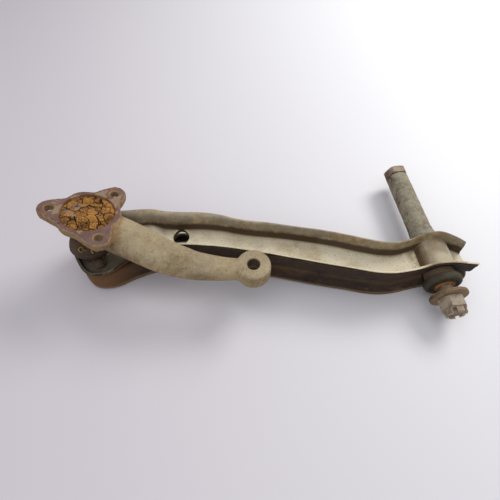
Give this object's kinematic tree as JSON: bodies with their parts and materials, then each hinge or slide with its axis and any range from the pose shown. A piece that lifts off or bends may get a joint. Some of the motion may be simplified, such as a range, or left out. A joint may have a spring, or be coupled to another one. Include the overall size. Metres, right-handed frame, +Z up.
{
  "type": "control arm",
  "caption": "Pressed-steel lower control arm with a bushed pivot bolt at one end and a ball joint carrying a forged steering arm with a bolt flange at the other.",
  "frame": {"origin": "middle of the spacer tube on the pivot axis", "axes": "+X from the ball joint towards the bush, +Y along the pivot bolt towards its head, +Z up, away from the surface the arm rests on"},
  "size_m": [0.4247, 0.1916, 0.0924],
  "materials": {
    "pressed_steel": "worn paint under dried road dirt over pressed sheet steel",
    "forged_steel": "rough forged steel, dull brown oxide and dust",
    "housing_steel": "dirty forged steel with grease stains",
    "spacer_steel": "mottled grey steel with dried oil",
    "rusty_fastener": "surface rust with dusty flats",
    "bush_rubber": "aged grey-green rubber",
    "boot_rubber": "matt dark rubber, dusty",
    "wire_ring": "dull brass-coloured spring wire",
    "spring_steel": "smooth ground steel",
    "liner_plastic": "plain off-white bearing plastic"
  },
  "bodies": {
    "control_arm": {"upper_pressing": "pressed_steel", "lower_pressing": "pressed_steel", "bush_tube": "pressed_steel", "bush_rubber": "bush_rubber", "ball_housing": "housing_steel", "housing_rivets": "housing_steel", "end_cap": "housing_steel", "preload_spring": "spring_steel", "ball_seat": "liner_plastic", "boot_ring_lower": "wire_ring"},
    "pivot": {"inner_sleeve": "rusty_fastener", "thrust_collar": "spacer_steel", "spacer_tube": "spacer_steel", "pivot_bolt": "rusty_fastener"},
    "loose_washer": {"bolt_washer": "rusty_fastener"},
    "loose_nut": {"pivot_nut": "rusty_fastener"},
    "ball_pad": {"pressure_pad": "liner_plastic"},
    "boot_top": {"ball_boot": "boot_rubber", "boot_ring_upper": "wire_ring"},
    "steering_knuckle": {"ball_stud": "spring_steel", "steering_arm": "forged_steel", "stud_nut": "rusty_fastener", "cotter_pin": "rusty_fastener"}
  },
  "joints": [
    {"name": "bush_twist", "type": "hinge", "parent": "control_arm", "child": "pivot", "pos_m": [0, -0.073, 0], "axis": [0, 1, 0], "range_deg": [-22, 22], "stiffness_Nm_per_rad": 57},
    {"name": "washer_travel", "type": "slide", "parent": "pivot", "child": "loose_washer", "axis": [0, 1, 0], "range_m": [-0.003, 0.0073]},
    {"name": "nut_turn", "type": "hinge", "parent": "loose_washer", "child": "loose_nut", "pos_m": [0, -0.1315, 0], "axis": [0, 1, 0], "range_deg": [-721, 1753]},
    {"name": "ball_rock", "type": "hinge", "parent": "control_arm", "child": "ball_pad", "pos_m": [-0.355, -0.029, 0.006], "axis": [0, 1, 0], "range_deg": [-18, 0.5]},
    {"name": "ball_lean", "type": "hinge", "parent": "ball_pad", "child": "boot_top", "pos_m": [-0.355, -0.029, 0.006], "axis": [1, 0, 0], "range_deg": [-6, 3], "deforming": ["ball_boot"]},
    {"name": "steer_swivel", "type": "hinge", "parent": "boot_top", "child": "steering_knuckle", "pos_m": [-0.355, -0.029, 0.006], "axis": [0.1959, 0.128, 0.9722], "range_deg": [-60, 1]}
  ],
  "couplings": [
    {"joint": "nut_turn", "follows": "washer_travel", "rad_per_m": 4188.8}
  ]
}
